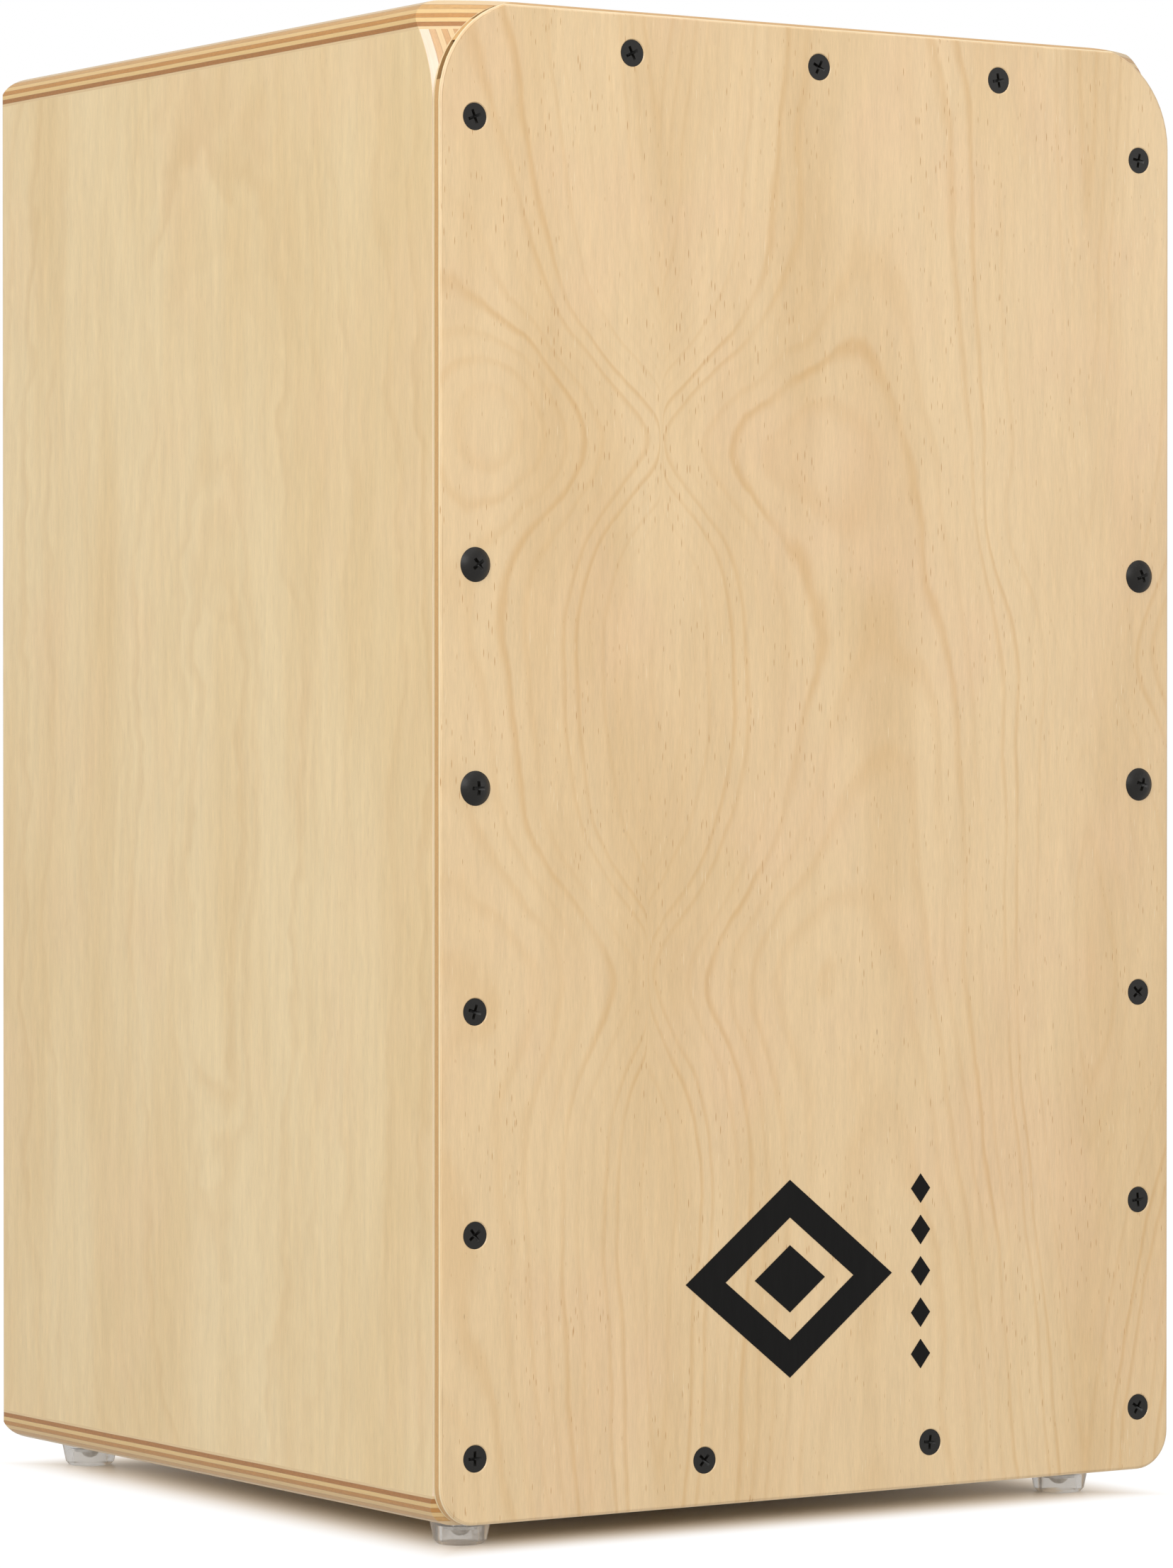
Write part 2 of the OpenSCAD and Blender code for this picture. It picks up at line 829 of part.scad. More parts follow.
module foot_screws() {
    seat = foot_h - foot_web_z + foot_washer_t;
    color(bright_steel) for (side = [left, right]) for (end = [front, rear])
        at_foot(side, end) translate([0, 0, seat])
            pan_screw(foot_head_d, foot_head_h, shank_d, foot_screw_l);
}

// ---- Emblem ----

// Plain diamond of a given size
module diamond(w, h) {
    polygon([[-w / 2, 0], [0, -h / 2], [w / 2, 0], [0, h / 2]]);
}

// Nested diamonds with a column of small ones beside them, printed on the plate
module front_emblem() {
    color("black") translate([emblem_x, 0, emblem_z]) facing_front(front_y - emblem_t, emblem_t) {
        difference() {
            diamond(emblem_w, emblem_h);
            diamond(gap_share * emblem_w, gap_share * emblem_h);
        }
        diamond(core_share * emblem_w, core_share * emblem_h);
        for (i = [0 : column_count - 1])
            translate([column_x, (i - (column_count - 1) / 2) * column_pitch])
                diamond(small_w, small_h);
    }
}

left_panel();
right_panel();
top_panel();
bottom_panel();
back_panel();
front_plate();
front_batten_left();
front_batten_right();
front_batten_top();
front_batten_bottom();
rear_batten_left();
rear_batten_right();
rear_batten_top();
rear_batten_bottom();
upper_string_bar();
lower_string_bar();
string_bar_screws();
string_anchor_screws();
snare_string_left();
snare_string_right();
eye_bolt_left();
eye_bolt_right();
thumb_nut_left();
thumb_nut_right();
thumb_nut_washers();
front_flat_screws();
front_pan_screws();
back_panel_screws();
foot_front_left();
foot_front_right();
foot_rear_left();
foot_rear_right();
foot_screws();
foot_washers();
front_emblem();
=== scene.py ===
"""Looks of a cajon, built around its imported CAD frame. Metres outside the materials; inside a
material every length is in millimetres, measured in the frame's own axes."""

import math

import bpy
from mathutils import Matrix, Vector


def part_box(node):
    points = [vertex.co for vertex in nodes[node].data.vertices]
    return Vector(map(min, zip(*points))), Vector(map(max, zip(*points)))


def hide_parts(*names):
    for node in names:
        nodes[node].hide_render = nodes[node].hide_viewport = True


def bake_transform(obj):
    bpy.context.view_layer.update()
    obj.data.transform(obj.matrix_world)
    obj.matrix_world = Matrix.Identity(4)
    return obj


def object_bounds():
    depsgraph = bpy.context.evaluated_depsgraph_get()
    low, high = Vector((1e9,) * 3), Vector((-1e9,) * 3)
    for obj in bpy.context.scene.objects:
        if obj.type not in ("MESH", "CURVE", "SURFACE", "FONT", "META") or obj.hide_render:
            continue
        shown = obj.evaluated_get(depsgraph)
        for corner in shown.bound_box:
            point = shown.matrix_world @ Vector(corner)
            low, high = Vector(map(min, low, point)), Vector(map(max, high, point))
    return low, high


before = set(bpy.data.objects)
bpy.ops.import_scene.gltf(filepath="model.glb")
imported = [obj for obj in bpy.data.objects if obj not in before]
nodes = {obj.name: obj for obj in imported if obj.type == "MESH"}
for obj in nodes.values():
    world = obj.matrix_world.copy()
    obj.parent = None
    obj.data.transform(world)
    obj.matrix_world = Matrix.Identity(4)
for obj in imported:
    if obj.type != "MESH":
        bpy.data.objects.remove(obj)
cad_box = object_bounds()
MM = 0.001


# ---- A small notation for node materials ----

def srgb(*parts):
    """A colour given in 0 to 255, as the linear colour that nodes take."""
    shares = [part / 255 for part in parts]
    return [share / 12.92 if share < 0.04 else ((share + 0.055) / 1.055) ** 2.4 for share in shares] + [1]


class Value:
    """An output of a node. Arithmetic on it adds nodes to its graph."""

    def __init__(self, graph, socket):
        self.graph = graph
        self.socket = socket

    def __add__(self, other):
        return self.graph.math("ADD", self, other)

    def __sub__(self, other):
        return self.graph.math("SUBTRACT", self, other)

    def __rsub__(self, other):
        return self.graph.math("SUBTRACT", other, self)

    def __mul__(self, other):
        return self.graph.math("MULTIPLY", self, other)

    def __truediv__(self, other):
        return self.graph.math("DIVIDE", self, other)

    def __pow__(self, other):
        return self.graph.math("POWER", self, other)

    def __abs__(self):
        return self.graph.math("ABSOLUTE", self)

    __radd__ = __add__
    __rmul__ = __mul__


class Graph:
    """The node tree of one new material."""

    def __init__(self, name):
        self.material = bpy.data.materials.new(name)
        self.material.use_nodes = True
        self.tree = self.material.node_tree
        self.tree.nodes.clear()

    def feed(self, socket, value):
        if isinstance(value, Value):
            self.tree.links.new(value.socket, socket)
        else:
            socket.default_value = value

    def node(self, kind, settings=None, **inputs):
        made = self.tree.nodes.new("ShaderNode" + kind)
        for name, value in (settings or {}).items():
            setattr(made, name, value)
        for name, value in inputs.items():
            self.feed(made.inputs[name.replace("_", " ")], value)
        return made

    def math(self, operation, *values):
        made = self.node("Math", {"operation": operation})
        for socket, value in zip(made.inputs, values):
            self.feed(socket, value)
        return Value(self, made.outputs[0])

    def place(self):
        """x, y and z in the frame, in millimetres."""
        coordinates = Value(self, self.node("TexCoord").outputs["Object"])
        split = self.node("SeparateXYZ", Vector=coordinates)
        return [Value(self, output) * 1000 for output in split.outputs]

    def vector(self, x, y, z):
        return Value(self, self.node("CombineXYZ", X=x, Y=y, Z=z).outputs[0])

    def noise(self, x, y, z=0.0, detail=2.0, roughness=0.5):
        """Smooth noise about 0.5; one step of each argument is about one blob."""
        made = self.node("TexNoise", Vector=self.vector(x, y, z), Scale=1.0, Detail=detail,
                         Roughness=roughness)
        return Value(self, made.outputs[0])

    def cells(self, x, y, z=0.0):
        """Distance to the nearest of scattered points, and a random number that each point owns."""
        made = self.node("TexVoronoi", Vector=self.vector(x, y, z), Scale=1.0)
        split = self.node("SeparateColor", Color=Value(self, made.outputs["Color"]))
        return Value(self, made.outputs["Distance"]), Value(self, split.outputs[0])

    def random(self, value):
        """A random number from 0 to 1 for each whole value."""
        made = self.node("TexWhiteNoise", {"noise_dimensions": "1D"}, W=value)
        return Value(self, made.outputs["Value"])

    def smooth(self, value, low, high):
        """0 below low, 1 above high and a soft step between; high may be the lower of the two."""
        made = self.node("MapRange", {"interpolation_type": "SMOOTHSTEP"}, Value=value)
        for name, setting in (("From Min", low), ("From Max", high)):
            self.feed(made.inputs[name], setting)
        return Value(self, made.outputs[0])

    def within(self, value, low, high, soft):
        """1 where value lies between low and high, fading out over soft at each end."""
        return self.smooth(value, low - soft, low) * self.smooth(value, high + soft, high)

    def mix(self, share, first, second, blend="MIX"):
        made = self.node("Mix", {"data_type": "RGBA", "blend_type": blend})
        for index, value in ((0, share), (6, first), (7, second)):
            self.feed(made.inputs[index], value)
        return Value(self, made.outputs[2])

    def shade(self, colour, factor):
        """The colour made lighter or darker by a factor."""
        return self.mix(1.0, colour, self.vector(factor, factor, factor), "MULTIPLY")

    def surface(self, colour, height=None, **settings):
        """Ends the material with its surface; height is relief in millimetres."""
        if height is not None:
            bump = self.node("Bump", Height=height * MM, Distance=1.0, Strength=1.0)
            settings["Normal"] = Value(self, bump.outputs[0])
        shader = self.node("BsdfPrincipled", Base_Color=colour, **settings)
        output = self.node("OutputMaterial")
        self.tree.links.new(shader.outputs[0], output.inputs[0])
        return self.material


# ---- Wood ----

# Colour of the pale flecks that are painted as glints of the lacquer
GLEAM_TONE = srgb(246, 226, 190)
PORE_TONE = srgb(188, 138, 82)
FLECK_TONE = srgb(126, 84, 52)
PLATE_LINE_TONE = srgb(204, 154, 84)
SIDE_LINE_TONE = srgb(206, 164, 104)
CUT_VENEER_TONE = srgb(240, 217, 174)
SEAM_TONE = srgb(120, 80, 48)
# Painted shade inside the gaps in the plate's core
GAP_SHADE_TONE = srgb(58, 34, 24)


def rings(g, height, rise, fade):
    """Growth rings as contour lines of height, from 0 to 1. Each comes in over rise, a share of
    the step from ring to ring, goes out over fade, and has its own strength."""
    across = g.math("FRACT", height)
    line = g.smooth(across, 0.0, rise) * g.smooth(across, rise + fade, rise)
    return line * (0.12 + g.random(g.math("FLOOR", height)) ** 2.5 * 0.88)


def pinch(g, x, z, at_x, at_z, pull, reach):
    """How far x is taken from itself so that the rings on both sides draw in to one spot."""
    dx = x - at_x
    dz = z - at_z
    r = g.math("SQRT", dx * dx + dz * dz)
    side = dx / g.math("SQRT", dx * dx + 0.2)
    return side * g.math("EXPONENT", r / -reach) * pull


def hill(g, x, z, at_x, at_z, lift, half_w, half_h):
    """A soft rise that pushes the rings aside."""
    dx = (x - at_x) / half_w
    dz = (z - at_z) / half_h
    return g.math("EXPONENT", (dx * dx + dz * dz) * -1.0) * lift


def dashes(g, across, along, seed, spacing, length, share):
    """Short strokes along the grain, thicker where noise crowds them."""
    crowd = g.smooth(g.noise(across / 22.0, along / 60.0, seed + 3.0), 0.3, 0.7)
    distance, owner = g.cells(across / spacing, along / length, seed)
    size = g.smooth(owner, 1.0 - share, 1.15 - share) * (0.05 + crowd * 0.16)
    return g.smooth(distance, size, size * 0.4)


def fibre(g, across, along, depth):
    """Fine streaks along the grain, about 0."""
    fine = g.noise(across / 0.4, along / 6.0, depth / 0.5, 3.0, 0.7) - 0.5
    coarse = g.noise(across / 2.4, along / 26.0, depth / 4.0, 3.0, 0.6) - 0.5
    return fine * 1.3 + coarse


# The front plate's figure. Rings draw in to two spots, one above the other on the left, and run in
# long arches to the right of them.
COLUMN_X = -65.0
COLUMN_W = 178.0
RINGS_ACROSS = 12.5
RING_RISE = 60.0
# Where rings draw in: x, z, pull and reach
PLATE_SPOTS = [(-63.5, 362.0, 15.0, 42.0), (-69.0, 186.0, 11.0, 38.0)]
# Where rings are pushed aside: x, z, lift in rings, half width and half height
PLATE_HILLS = [
    (-65.0, 362.0, 6.0, 62.0, 34.0),
    (-65.0, 186.0, 4.5, 58.0, 36.0),
    (-132.0, 368.0, 2.6, 26.0, 30.0),
    (138.0, 168.0, -5.0, 42.0, 75.0),
    (128.0, 292.0, 2.4, 34.0, 26.0),
    (78.0, 338.0, -1.2, 12.0, 20.0),
]


def plate_figure(g, x, z):
    """Ring heights over the front plate."""
    drawn = x
    for spot in PLATE_SPOTS:
        drawn = drawn + pinch(g, x, z, *spot)
    turn = g.math("SINE", (drawn - COLUMN_X) * (math.pi / COLUMN_W))
    height = g.math("SQRT", turn * turn + 0.004) * RINGS_ACROSS - z / RING_RISE
    for place in PLATE_HILLS:
        height = height + hill(g, drawn, z, *place)
    drift = (g.noise(drawn / 60.0, z / 110.0, 3.0, 2.0, 0.5) - 0.5) * 2.6
    waver = (g.noise(drawn / 14.0, z / 40.0, 8.0, 3.0, 0.6) - 0.5) * 0.7
    return height + drift + waver


def panel_figure(g, across, along, seed, centre):
    """Ring heights over a side panel: long closed arches about its middle, drawn softly."""
    middle_across, middle_along = centre
    da = (across - middle_across) / 17.0
    dl = (along - middle_along) / 78.0
    arches = g.math("SQRT", da * da + dl * dl + 0.3) * 1.9
    drift = (g.noise(across / 55.0, along / 60.0, seed, 3.0, 0.6) - 0.5) * 4.2
    return arches + drift


def veneer(g, across, along, seed, line, tones, line_tone, pore_strength):
    """A lacquered birch face: broad bands, growth rings, fibre and pores. Returns colour, relief."""
    pale, deep, pink = tones
    bands = g.noise(across / 34.0, along / 260.0, seed, 2.0)
    patches = g.noise(across / 48.0, along / 70.0, seed + 5.0, 2.0)
    streaks = fibre(g, across, along, seed * 7.0)
    colour = g.mix(g.smooth(bands, 0.35, 0.68), pale, deep)
    colour = g.mix(g.smooth(patches, 0.45, 0.75) * 0.6, colour, pink)
    colour = g.shade(colour, 1.0 + streaks * 0.22)
    fading = g.smooth(g.noise(across / 26.0, along / 60.0, seed + 9.0, 2.0), 0.25, 0.62)
    line = line * (0.3 + fading * 0.7)
    colour = g.mix(line, colour, line_tone)
    pore = dashes(g, across, along, seed, 0.95, 10.0, 0.8) * pore_strength
    # Pale flecks that stand in for glints of the lacquer: a painted highlight
    gleam = dashes(g, across, along, seed + 20.0, 1.3, 14.0, 0.6) * pore_strength
    fleck = dashes(g, across, along, seed + 40.0, 1.4, 11.0, 0.09) * pore_strength
    colour = g.mix(gleam * 0.35, colour, GLEAM_TONE)
    colour = g.mix(pore * 0.9, colour, PORE_TONE)
    colour = g.mix(fleck * 0.7, colour, FLECK_TONE)
    return colour, streaks * 0.012 - (pore + fleck) * 0.02


PLATE_T = 4.5
PLATE_CORNER_R = 34.0
# Depths behind the plate's face between which its core shows, and how steeply the line from the
# corner's centre past the end of the upper gap climbs
CORE_DEPTHS = (1.3, 3.5)
GAP_END_SLOPE = 3.17
PLATE_TONES = (srgb(231, 201, 155), srgb(221, 188, 139), srgb(230, 195, 152))
SIDE_TONES = (srgb(236, 211, 164), srgb(229, 200, 149), srgb(235, 204, 157))
LACQUER = {"Coat_Weight": 0.35, "Coat_Roughness": 0.22, "Coat_IOR": 1.45}


def plies(g, depth, along_edge, across_edge, layers, thickness, face):
    """Colours of the stacked plies at a cut edge, and its relief."""
    grain = g.noise(along_edge / 14.0, depth / 0.22, across_edge / 14.0, 3.0, 0.7)
    mottle = g.noise(along_edge / 1.6, depth / 0.8, across_edge / 1.6, 4.0, 0.7)
    waver = (g.noise(along_edge / 40.0, across_edge / 40.0, 2.0) - 0.5) * 0.3
    colour = face
    total = 0.0
    for share, tone, rough in layers:
        body = g.shade(tone, 1.0 + (grain - 0.5) * 0.42)
        body = g.shade(body, 1.0 + (mottle - 0.5) * rough)
        colour = g.mix(g.smooth(depth + waver, total - 0.07, total + 0.07), colour, body)
        seam = g.within(depth + waver, total - 0.05, total + 0.05, 0.08)
        colour = g.mix(seam * 0.35, colour, SEAM_TONE)
        total += share * thickness
    return colour, mottle * 0.03


# Share of the thickness, tone and mottling of each ply, from the outer face inwards. The plies
# whose grain runs along the cut edge are pale, and those that show their end grain are brown.
BAND_PLIES = [
    (0.15, srgb(216, 188, 146), 0.12),
    (0.15, srgb(202, 156, 94), 0.45),
    (0.15, srgb(222, 186, 126), 0.16),
    (0.15, srgb(190, 134, 66), 0.50),
    (0.15, srgb(224, 188, 126), 0.16),
    (0.15, srgb(170, 114, 54), 0.60),
    (0.10, srgb(224, 194, 146), 0.12),
]
SANDED_PLIES = [
    (0.24, srgb(240, 214, 188), 0.10),
    (0.16, srgb(214, 172, 124), 0.35),
    (0.15, srgb(228, 194, 146), 0.14),
    (0.15, srgb(206, 160, 108), 0.40),
    (0.15, srgb(226, 192, 142), 0.14),
    (0.15, srgb(200, 154, 102), 0.40),
]


def lacquered_plywood(g, depth, thickness, skin, face, edge, roughness):
    """Ends a plywood material. face and edge each hold a colour and its relief, and skin is the
    depths between which a face gives way to the edges."""
    deep, shallow = skin
    on_face = g.smooth(depth, deep, shallow) + g.smooth(depth, thickness - deep, thickness - shallow)
    colour = g.mix(on_face, edge[0], face[0])
    relief = face[1] * on_face + edge[1] * (1.0 - on_face)
    return g.surface(colour, relief, Roughness=roughness, **LACQUER)


def birch_plywood(node, axis, outer, face_axes, seed, centre, layers):
    """Plywood as a solid: the figure shows on the faces, and the stacked plies on every edge. axis
    is the one across the panel, and outer is the sign of the way out along it."""
    g = Graph("birch_" + node)
    place = g.place()
    low, high = (Vector(corner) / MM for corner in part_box(node))
    depth = high[axis] - place[axis] if outer > 0 else place[axis] - low[axis]
    across, along = (place[index] for index in face_axes)
    thickness = high[axis] - low[axis]
    line = rings(g, panel_figure(g, across, along, seed, centre), 0.3, 0.65) * 0.26
    face = veneer(g, across, along, seed, line, SIDE_TONES, SIDE_LINE_TONE, 0.25)
    edge = plies(g, depth, along, across, layers, thickness, face[0])
    return lacquered_plywood(g, depth, thickness, (0.12, 0.04), face, edge, 0.42)


def core_gap(g, x, z, depth):
    """How strongly painted shade darkens the inside of the gaps in the plate's core at its top left
    corner, from 0.
    """
    low, high = (Vector(corner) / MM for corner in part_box("front_plate"))
    dx = x - (low.x + PLATE_CORNER_R)
    dz = z - (high.z - PLATE_CORNER_R)
    r = g.math("SQRT", dx * dx + dz * dz)
    corner = g.smooth(dx, 0.0, -1.0) * g.smooth(dz, 0.0, 1.0) * g.within(depth, *CORE_DEPTHS, 0.05)
    corner = corner * g.smooth(dz + dx * GAP_END_SLOPE, 1.0, -1.0)
    rough = g.noise(x / 0.8, z / 0.8, depth / 0.8, 3.0, 0.7)
    return corner * g.smooth(r, PLATE_CORNER_R - 0.1, PLATE_CORNER_R - 0.25) * (0.7 + rough * 0.5)


def front_veneer():
    """The playing face: flamed birch, its three plies on the edge, paler where the veneer is cut."""
    g = Graph("front_veneer")
    x, y, z = g.place()
    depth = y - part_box("front_plate")[0].y / MM
    line = rings(g, plate_figure(g, x, z), 0.22, 0.35) * 0.45
    face = veneer(g, x, z, 1.5, line, PLATE_TONES, PLATE_LINE_TONE, 1.0)
    cream = g.mix(g.smooth(depth, 0.5, 0.8), face[0], CUT_VENEER_TONE)
    layers = [
        (0.28, cream, 0.06),
        (0.51, srgb(208, 162, 100), 0.40),
        (0.21, srgb(236, 212, 166), 0.12),
    ]
    cut, cut_relief = plies(g, depth, z, x, layers, PLATE_T, face[0])
    # The gaps in the core take a painted shade
    edge = (g.mix(core_gap(g, x, z, depth), cut, GAP_SHADE_TONE), cut_relief)
    return lacquered_plywood(g, depth, PLATE_T, (0.10, 0.03), face, edge, 0.4)


def planed_wood(name, grain_axis, tones, line_tone, ring_w, roughness):
    """Bare planed wood with nearly straight rings that run along one axis of the frame."""
    g = Graph(name)
    place = g.place()
    along = place.pop(grain_axis)
    u, v = place
    sway = (g.noise(u / 30.0, v / 30.0, along / 160.0) - 0.5) * 14.0
    height = (u * 0.8 + v * 0.6 + sway) / ring_w
    streaks = g.noise(u / 0.6, v / 0.6, along / 26.0, 3.0, 0.6) - 0.5
    colour = g.mix(g.noise(u / 12.0, v / 12.0, along / 90.0), *tones)
    colour = g.shade(colour, 1.0 + streaks * 0.22)
    colour = g.mix(rings(g, height, 0.35, 0.25) * 0.6, colour, line_tone)
    return g.surface(colour, streaks * 0.05, Roughness=roughness)


# ---- Metal, plastic and print ----

WINDING_PITCH = 0.28


def black_screws():
    """Blackened steel, worn paler in places."""
    g = Graph("black_screws")
    x, y, z = g.place()
    grain = g.noise(x / 0.25, y / 0.25, z / 0.25, 3.0)
    wear = g.smooth(g.noise(x / 1.1, y / 1.1, z / 1.1, 3.0, 0.7), 0.58, 0.75)
    colour = g.mix(wear * 0.5, srgb(27, 25, 22), srgb(56, 52, 47))
    return g.surface(colour, grain * 0.02, Roughness=0.34 + grain * 0.14, Specular_IOR_Level=0.35)


def plated_metal(name, tone, dull_tone, roughness):
    """Turned metal with duller patches."""
    g = Graph(name)
    x, y, z = g.place()
    patches = g.noise(x / 2.5, y / 2.5, z / 2.5, 4.0, 0.6)
    lathe = g.noise(x / 0.9, y / 0.9, z / 0.08, 2.0)
    colour = g.mix(g.smooth(patches, 0.4, 0.7), tone, dull_tone)
    return g.surface(colour, lathe * 0.006, Roughness=roughness + patches * 0.2, Metallic=1.0)


def wound_string():
    """Steel wound with fine wire, painted lighter on the crest of each turn and darker between turns: a
    painted highlight and painted shade. Its turns follow the distance along the string, which the mesh
    carries as an attribute in millimetres."""
    g = Graph("string_steel")
    run = Value(g, g.node("Attribute", {"attribute_name": "run_mm"}).outputs["Fac"])
    turn = g.math("FRACT", run / WINDING_PITCH)
    ridge = g.math("SINE", turn * math.pi)
    # Painted highlight on the crest of each turn and painted shade between turns
    colour = g.mix(ridge, srgb(70, 66, 60), srgb(196, 190, 180))
    return g.surface(colour, ridge * 0.05, Roughness=0.34, Metallic=1.0)


def clear_feet():
    """Clear soft plastic with a faint painted glow, and painted shade that makes it greyer at the floor.
    """
    g = Graph("clear_feet")
    x, y, z = g.place()
    haze = g.noise(x / 3.0, y / 3.0, z / 3.0, 3.0, 0.6)
    # Painted shade: greyer within 1.6 mm of the floor
    colour = g.mix(g.smooth(z, 1.6, 0.0) * 0.4, srgb(252, 250, 247), srgb(236, 231, 224))
    # The faint emission is a painted glow that lightens the clear plastic
    return g.surface(colour, haze * 0.05, Roughness=0.06 + haze * 0.12, Transmission_Weight=0.85, IOR=1.33,
                     Emission_Color=srgb(244, 240, 234), Emission_Strength=0.03)


def black_print():
    """Flat black ink that lets a little of the wood's fibre through."""
    g = Graph("black_print")
    x, y, z = g.place()
    streaks = fibre(g, x, z, 0.0)
    colour = g.shade(srgb(20, 19, 18), 1.0 + streaks * 0.5)
    return g.surface(colour, streaks * 0.02, Roughness=0.55, Specular_IOR_Level=0.12)


# ---- Snare strings ----

STRING_D = 0.8 * MM
LOOP_R = 2.25 * MM
BAR_EDGE_R = 2.0 * MM
EYE_WIRE_D = 3.2 * MM
STRING_GAP = 0.05 * MM
EYE_GAP = 0.15 * MM
PATH_STEP = 4 * MM
# Height above the upper bar's underside at which a string starts to lean to the eye
BEND_START = 1.0 * MM
# How far a string's tail runs beside it, and where its loop closes, in radii of the loop
TAIL_FAR, TAIL_NEAR, LOOP_CLOSES = 2.0, 1.15, 1.56
LOOP_LEAN = math.radians(40)
LOOP_STEPS, BEND_STEPS, EYE_STEPS = 24, 8, 12
STRING_SIDES = 8


def arc(centre, start, turn_axis, degrees, steps):
    """Points that turn start, a vector from centre, about turn_axis."""
    spin = Vector(turn_axis)
    points = []
    for step in range(steps + 1):
        angle = math.radians(degrees * step / steps)
        turned = (start * math.cos(angle) + spin.cross(start) * math.sin(angle)
                  + spin * spin.dot(start) * (1 - math.cos(angle)))
        points.append(centre + turned)
    return points


def resample(points, spacing):
    """The same path with points no further apart than spacing."""
    path = [points[0]]
    for point in points[1:]:
        run = point - path[-1]
        pieces = max(1, math.ceil(run.length / spacing))
        start = path[-1]
        path += [start + run * (i / pieces) for i in range(1, pieces + 1)]
    return path


def tube(name, path, radius, sides):
    """A round tube along a path, closed at both ends, with its length carried in run_mm."""
    across = (path[1] - path[0]).orthogonal().normalized()
    vertices, runs, faces = [], [], []
    run = 0.0
    for index, point in enumerate(path):
        before = path[max(index - 1, 0)]
        after = path[min(index + 1, len(path) - 1)]
        tangent = (after - before).normalized()
        across = (across - tangent * across.dot(tangent)).normalized()
        up = tangent.cross(across)
        run += (point - before).length
        for side in range(sides):
            angle = 2 * math.pi * side / sides
            vertices.append(point + (across * math.cos(angle) + up * math.sin(angle)) * radius)
            runs.append(run / MM)
    for ring in range(len(path) - 1):
        for side in range(sides):
            a, b = ring * sides + side, ring * sides + (side + 1) % sides
            faces.append((a, b, b + sides, a + sides))
    faces.append(tuple(reversed(range(sides))))
    faces.append(tuple(range(len(vertices) - sides, len(vertices))))
    mesh = bpy.data.meshes.new(name)
    mesh.from_pydata(vertices, [], faces)
    mesh.attributes.new("run_mm", "FLOAT", "POINT").data.foreach_set("value", runs)
    mesh.polygons.foreach_set("use_smooth", [True] * len(faces))
    piece = bpy.data.objects.new(name, mesh)
    bpy.context.scene.collection.objects.link(piece)
    return piece


def strand(anchor, spin, wire_r, bar_front, bar_low, eye_end):
    """Half of a string, from the tail beside its own loop to the side of the eye. spin is the side,
    as the sign of x, on which the tail lies."""
    bend_r = BAR_EDGE_R + wire_r + STRING_GAP
    side = Vector((spin * LOOP_R * math.cos(LOOP_LEAN), -LOOP_R * math.sin(LOOP_LEAN), 0))
    tail_x = spin * 2 * wire_r
    tail = [anchor + Vector((tail_x, -reach * LOOP_R, 0)) for reach in (TAIL_FAR, TAIL_NEAR)]
    loop = arc(anchor, side, (0, 0, spin), 180 + 2 * math.degrees(LOOP_LEAN), LOOP_STEPS)
    closed = anchor - Vector((0, LOOP_CLOSES * LOOP_R, 0))
    bend_centre = Vector((anchor.x, bar_front + BAR_EDGE_R, anchor.z - bend_r))
    bend = arc(bend_centre, Vector((0, 0, bend_r)), (1, 0, 0), 90, BEND_STEPS)
    low_bend = Vector((anchor.x, bend[-1].y, bar_low + BEND_START))
    return tail + loop + [closed] + bend + [low_bend, eye_end]


def snare_string(side):
    """One wire: round an anchor, over the upper bar, under the top of the eye and up again to the
    other anchor. Its lower end goes up and down with the eye bolt."""
    node = "snare_string_" + side
    eye_low, eye_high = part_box("eye_bolt_" + side)
    wire_low, wire_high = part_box(node)
    bar_low, bar_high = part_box("upper_string_bar")
    screws_low, screws_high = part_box("string_anchor_screws")
    wire_r = STRING_D / 2
    spread = (wire_high.x - wire_low.x) / 2 - LOOP_R - wire_r
    eye_wire_r = EYE_WIRE_D / 2
    eye_x = (wire_low.x + wire_high.x) / 2
    eye_y = (eye_low.y + eye_high.y) / 2
    turn = Vector((eye_x, eye_y, eye_high.z - eye_wire_r))
    turn_r = eye_wire_r + wire_r + EYE_GAP
    anchor_y = (screws_low.y + screws_high.y) / 2
    anchor_z = bar_high.z + wire_r + STRING_GAP
    halves = []
    for spin in (-1, 1):
        anchor = Vector((eye_x + spin * spread, anchor_y, anchor_z))
        eye_end = turn + Vector((spin * turn_r, 0, 0))
        halves.append(strand(anchor, spin, wire_r, bar_low.y, bar_low.z, eye_end))
    half_turn = arc(turn, Vector((-turn_r, 0, 0)), (0, -1, 0), 180, EYE_STEPS)
    path = halves[0][:-1] + half_turn + halves[1][-2::-1]
    piece = tube("wound_string_" + side, resample(path, PATH_STEP), wire_r, STRING_SIDES)
    piece.data.materials.append(wound_string())
    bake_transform(piece)
    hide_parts(node)


# ---- Stage, lights and camera ----

FLOOR_HALF = 12.0
FLOOR_DROP = 0.05 * MM
# Distances past the object's outline, in millimetres, over which the floor goes from shaded to glowing;
# this fade paints the edge of the shadow round the object
SHADE_REACH = (-42.0, 9.0)
SHADE_CURVE = 1.35
# How strongly the open floor glows for the object and for the camera
GLOW_ON_OBJECT, GLOW_SEEN = 0.66, 1.05
SURROUND_ON_OBJECT = 0.55
LIGHTS_AIM = (0, 0, 0.25)
# Name, place, width and power in watts
SOFTBOXES = [
    ("key", (-1.9, -1.7, 1.5), 1.6, 37),
    ("fill", (1.8, -1.8, 0.8), 1.4, 6.5),
    ("top", (-0.2, -0.2, 2.2), 2.4, 18),
]
CAMERA_PLACE = (-1.1616, -1.7820, 0.2649)
CAMERA_AZIMUTH = math.radians(-33.231)
CAMERA_FALL = math.radians(0.488)
CAMERA_LENS, CAMERA_SENSOR = 137.48, 36.0


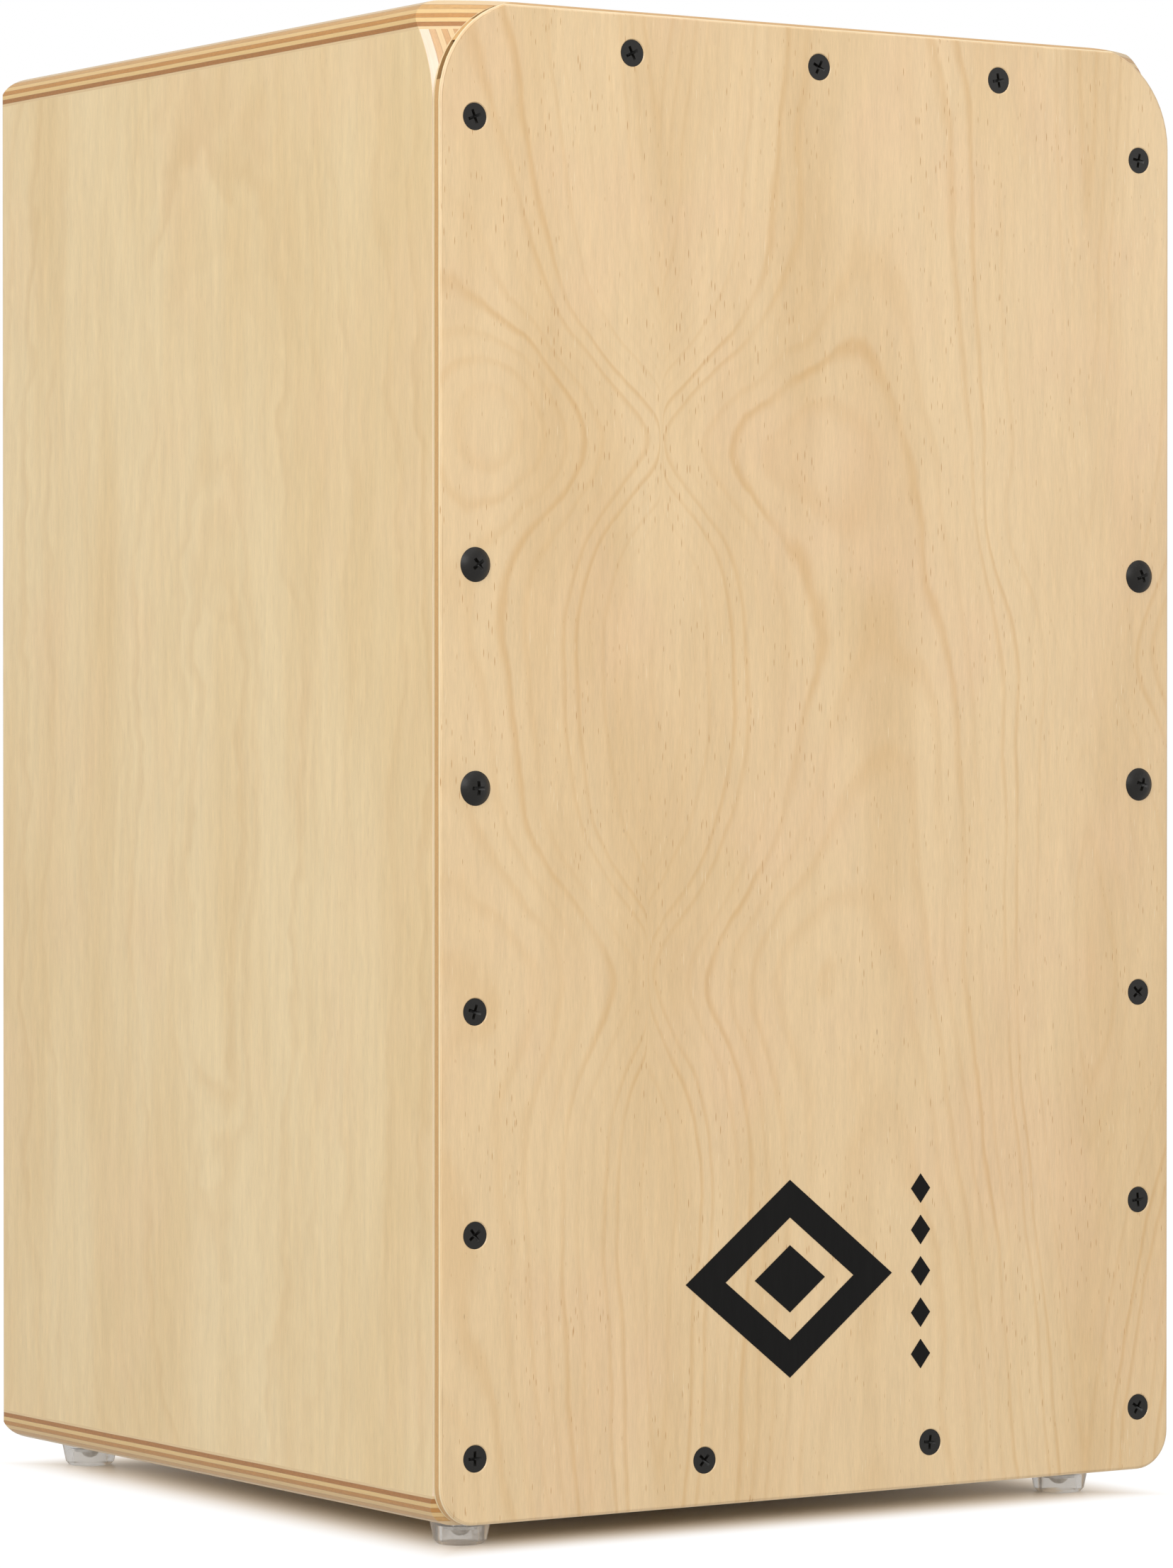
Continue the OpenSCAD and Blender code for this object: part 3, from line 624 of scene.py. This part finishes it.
def floor():
    """A large white floor that glows, except under the object and close round it, where it takes shade
    from the lights; the glow's fade and warm tint there paint the shadow's edge and colour.
    """
    high = Vector(cad_box[1]) / MM
    mesh = bpy.data.meshes.new("floor")
    corners = [(i * FLOOR_HALF, j * FLOOR_HALF, 0) for i, j in ((-1, -1), (1, -1), (1, 1), (-1, 1))]
    mesh.from_pydata(corners, [], [(0, 1, 2, 3)])
    plane = bpy.data.objects.new("floor", mesh)
    plane.location.z = -FLOOR_DROP
    bpy.context.scene.collection.objects.link(plane)
    g = Graph("pale_floor")
    x, y, z = g.place()
    beyond = g.math("MAXIMUM", abs(x) - high.x, abs(y) - high.y)
    open_floor = g.smooth(beyond, *SHADE_REACH) ** SHADE_CURVE
    haze = g.noise(x / 400.0, y / 400.0)
    shaded = g.node("BsdfPrincipled", Base_Color=g.shade(srgb(250, 251, 252), 0.99 + haze * 0.02),
                    Roughness=0.3, Specular_IOR_Level=0.25)
    seen = Value(g, g.node("LightPath").outputs["Is Camera Ray"])
    # Painted shadow colour: the glow is tinted warm where it fades in near the object
    glow = g.node("Emission", Color=g.mix(open_floor, srgb(255, 234, 208), srgb(255, 255, 255)),
                  Strength=GLOW_ON_OBJECT + seen * (GLOW_SEEN - GLOW_ON_OBJECT))
    blend = g.node("MixShader")
    g.feed(blend.inputs[0], open_floor)
    g.tree.links.new(shaded.outputs[0], blend.inputs[1])
    g.tree.links.new(glow.outputs[0], blend.inputs[2])
    output = g.node("OutputMaterial")
    g.tree.links.new(blend.outputs[0], output.inputs[0])
    mesh.materials.append(g.material)


def softbox(name, place, size, power):
    """A square area light that faces the object and that the camera can't see."""
    light = bpy.data.lights.new(name, "AREA")
    light.shape = "RECTANGLE"
    light.size = light.size_y = size
    light.energy = power
    lamp = bpy.data.objects.new(name, light)
    lamp.location = place
    lamp.rotation_euler = (Vector(LIGHTS_AIM) - Vector(place)).to_track_quat("-Z", "Y").to_euler()
    lamp.visible_camera = False
    bpy.context.scene.collection.objects.link(lamp)


def lights():
    """Three softboxes, and a surround that the camera sees as white and that lights the object less."""
    for settings in SOFTBOXES:
        softbox(*settings)
    world = bpy.data.worlds.new("studio")
    world.use_nodes = True
    tree = world.node_tree
    background = tree.nodes["Background"]
    background.inputs["Color"].default_value = (1, 1, 1, 1)
    rays = tree.nodes.new("ShaderNodeLightPath")
    strength = tree.nodes.new("ShaderNodeMapRange")
    strength.inputs["To Min"].default_value = SURROUND_ON_OBJECT
    strength.inputs["To Max"].default_value = 1.0
    tree.links.new(rays.outputs["Is Camera Ray"], strength.inputs["Value"])
    tree.links.new(strength.outputs[0], background.inputs["Strength"])
    bpy.context.scene.world = world
    bpy.context.scene.view_settings.view_transform = "Standard"


def camera():
    """Near floor level, about 33 degrees to the left of the front plate."""
    level = math.cos(CAMERA_FALL)
    aim = Vector((-math.sin(CAMERA_AZIMUTH) * level, math.cos(CAMERA_AZIMUTH) * level,
                  -math.sin(CAMERA_FALL)))
    lens = bpy.data.cameras.new("camera")
    lens.lens = CAMERA_LENS
    lens.sensor_width = CAMERA_SENSOR
    eye = bpy.data.objects.new("camera", lens)
    eye.location = CAMERA_PLACE
    eye.rotation_euler = aim.to_track_quat("-Z", "Y").to_euler()
    bpy.context.scene.collection.objects.link(eye)
    bpy.context.scene.camera = eye


# ---- The object ----

def paint(material, *names):
    """Gives nodes of the frame their only material."""
    for name in names:
        mesh = nodes[name].data
        mesh.materials.clear()
        mesh.materials.append(material)


X, Y, Z = 0, 1, 2
# Each panel with the axis across it, the sign of its way out, its face's axes, its seed, the middle
# of its arches and its plies
PANELS = [
    ("left_panel", X, -1, (Y, Z), 2.5, (-5.0, 235.0), SANDED_PLIES),
    ("right_panel", X, 1, (Y, Z), 4.5, (20.0, 190.0), SANDED_PLIES),
    ("top_panel", Z, 1, (X, Y), 6.5, (-20.0, 40.0), BAND_PLIES),
    ("bottom_panel", Z, -1, (X, Y), 8.5, (30.0, -60.0), BAND_PLIES),
    ("back_panel", Y, 1, (X, Z), 10.5, (10.0, 330.0), BAND_PLIES),
]
for panel in PANELS:
    paint(birch_plywood(*panel), panel[0])
paint(front_veneer(), "front_plate")

# Tones, tone of the rings, width of a ring and roughness
PINE = ((srgb(232, 205, 160), srgb(222, 188, 138)), srgb(196, 144, 88), 3.4, 0.62)
BEECH = ((srgb(214, 168, 124), srgb(202, 152, 108)), srgb(170, 114, 74), 2.2, 0.5)
paint(planed_wood("pine_upright", Z, *PINE), "front_batten_left", "front_batten_right",
      "rear_batten_left", "rear_batten_right")
paint(planed_wood("pine_across", X, *PINE), "front_batten_top", "front_batten_bottom",
      "rear_batten_top", "rear_batten_bottom")
paint(planed_wood("beech", X, *BEECH), "upper_string_bar", "lower_string_bar")
paint(black_screws(), "front_flat_screws", "front_pan_screws", "back_panel_screws", "string_bar_screws")
paint(plated_metal("zinc_steel", srgb(206, 208, 210), srgb(160, 162, 164), 0.22),
      "string_anchor_screws", "eye_bolt_left", "eye_bolt_right", "thumb_nut_washers",
      "foot_screws", "foot_washers", "snare_string_left", "snare_string_right")
paint(plated_metal("nut_brass", srgb(214, 178, 104), srgb(170, 132, 72), 0.26),
      "thumb_nut_left", "thumb_nut_right")
paint(clear_feet(), "foot_front_left", "foot_front_right", "foot_rear_left", "foot_rear_right")
paint(black_print(), "front_emblem")

for side in ("left", "right"):
    snare_string(side)

floor()
lights()
camera()
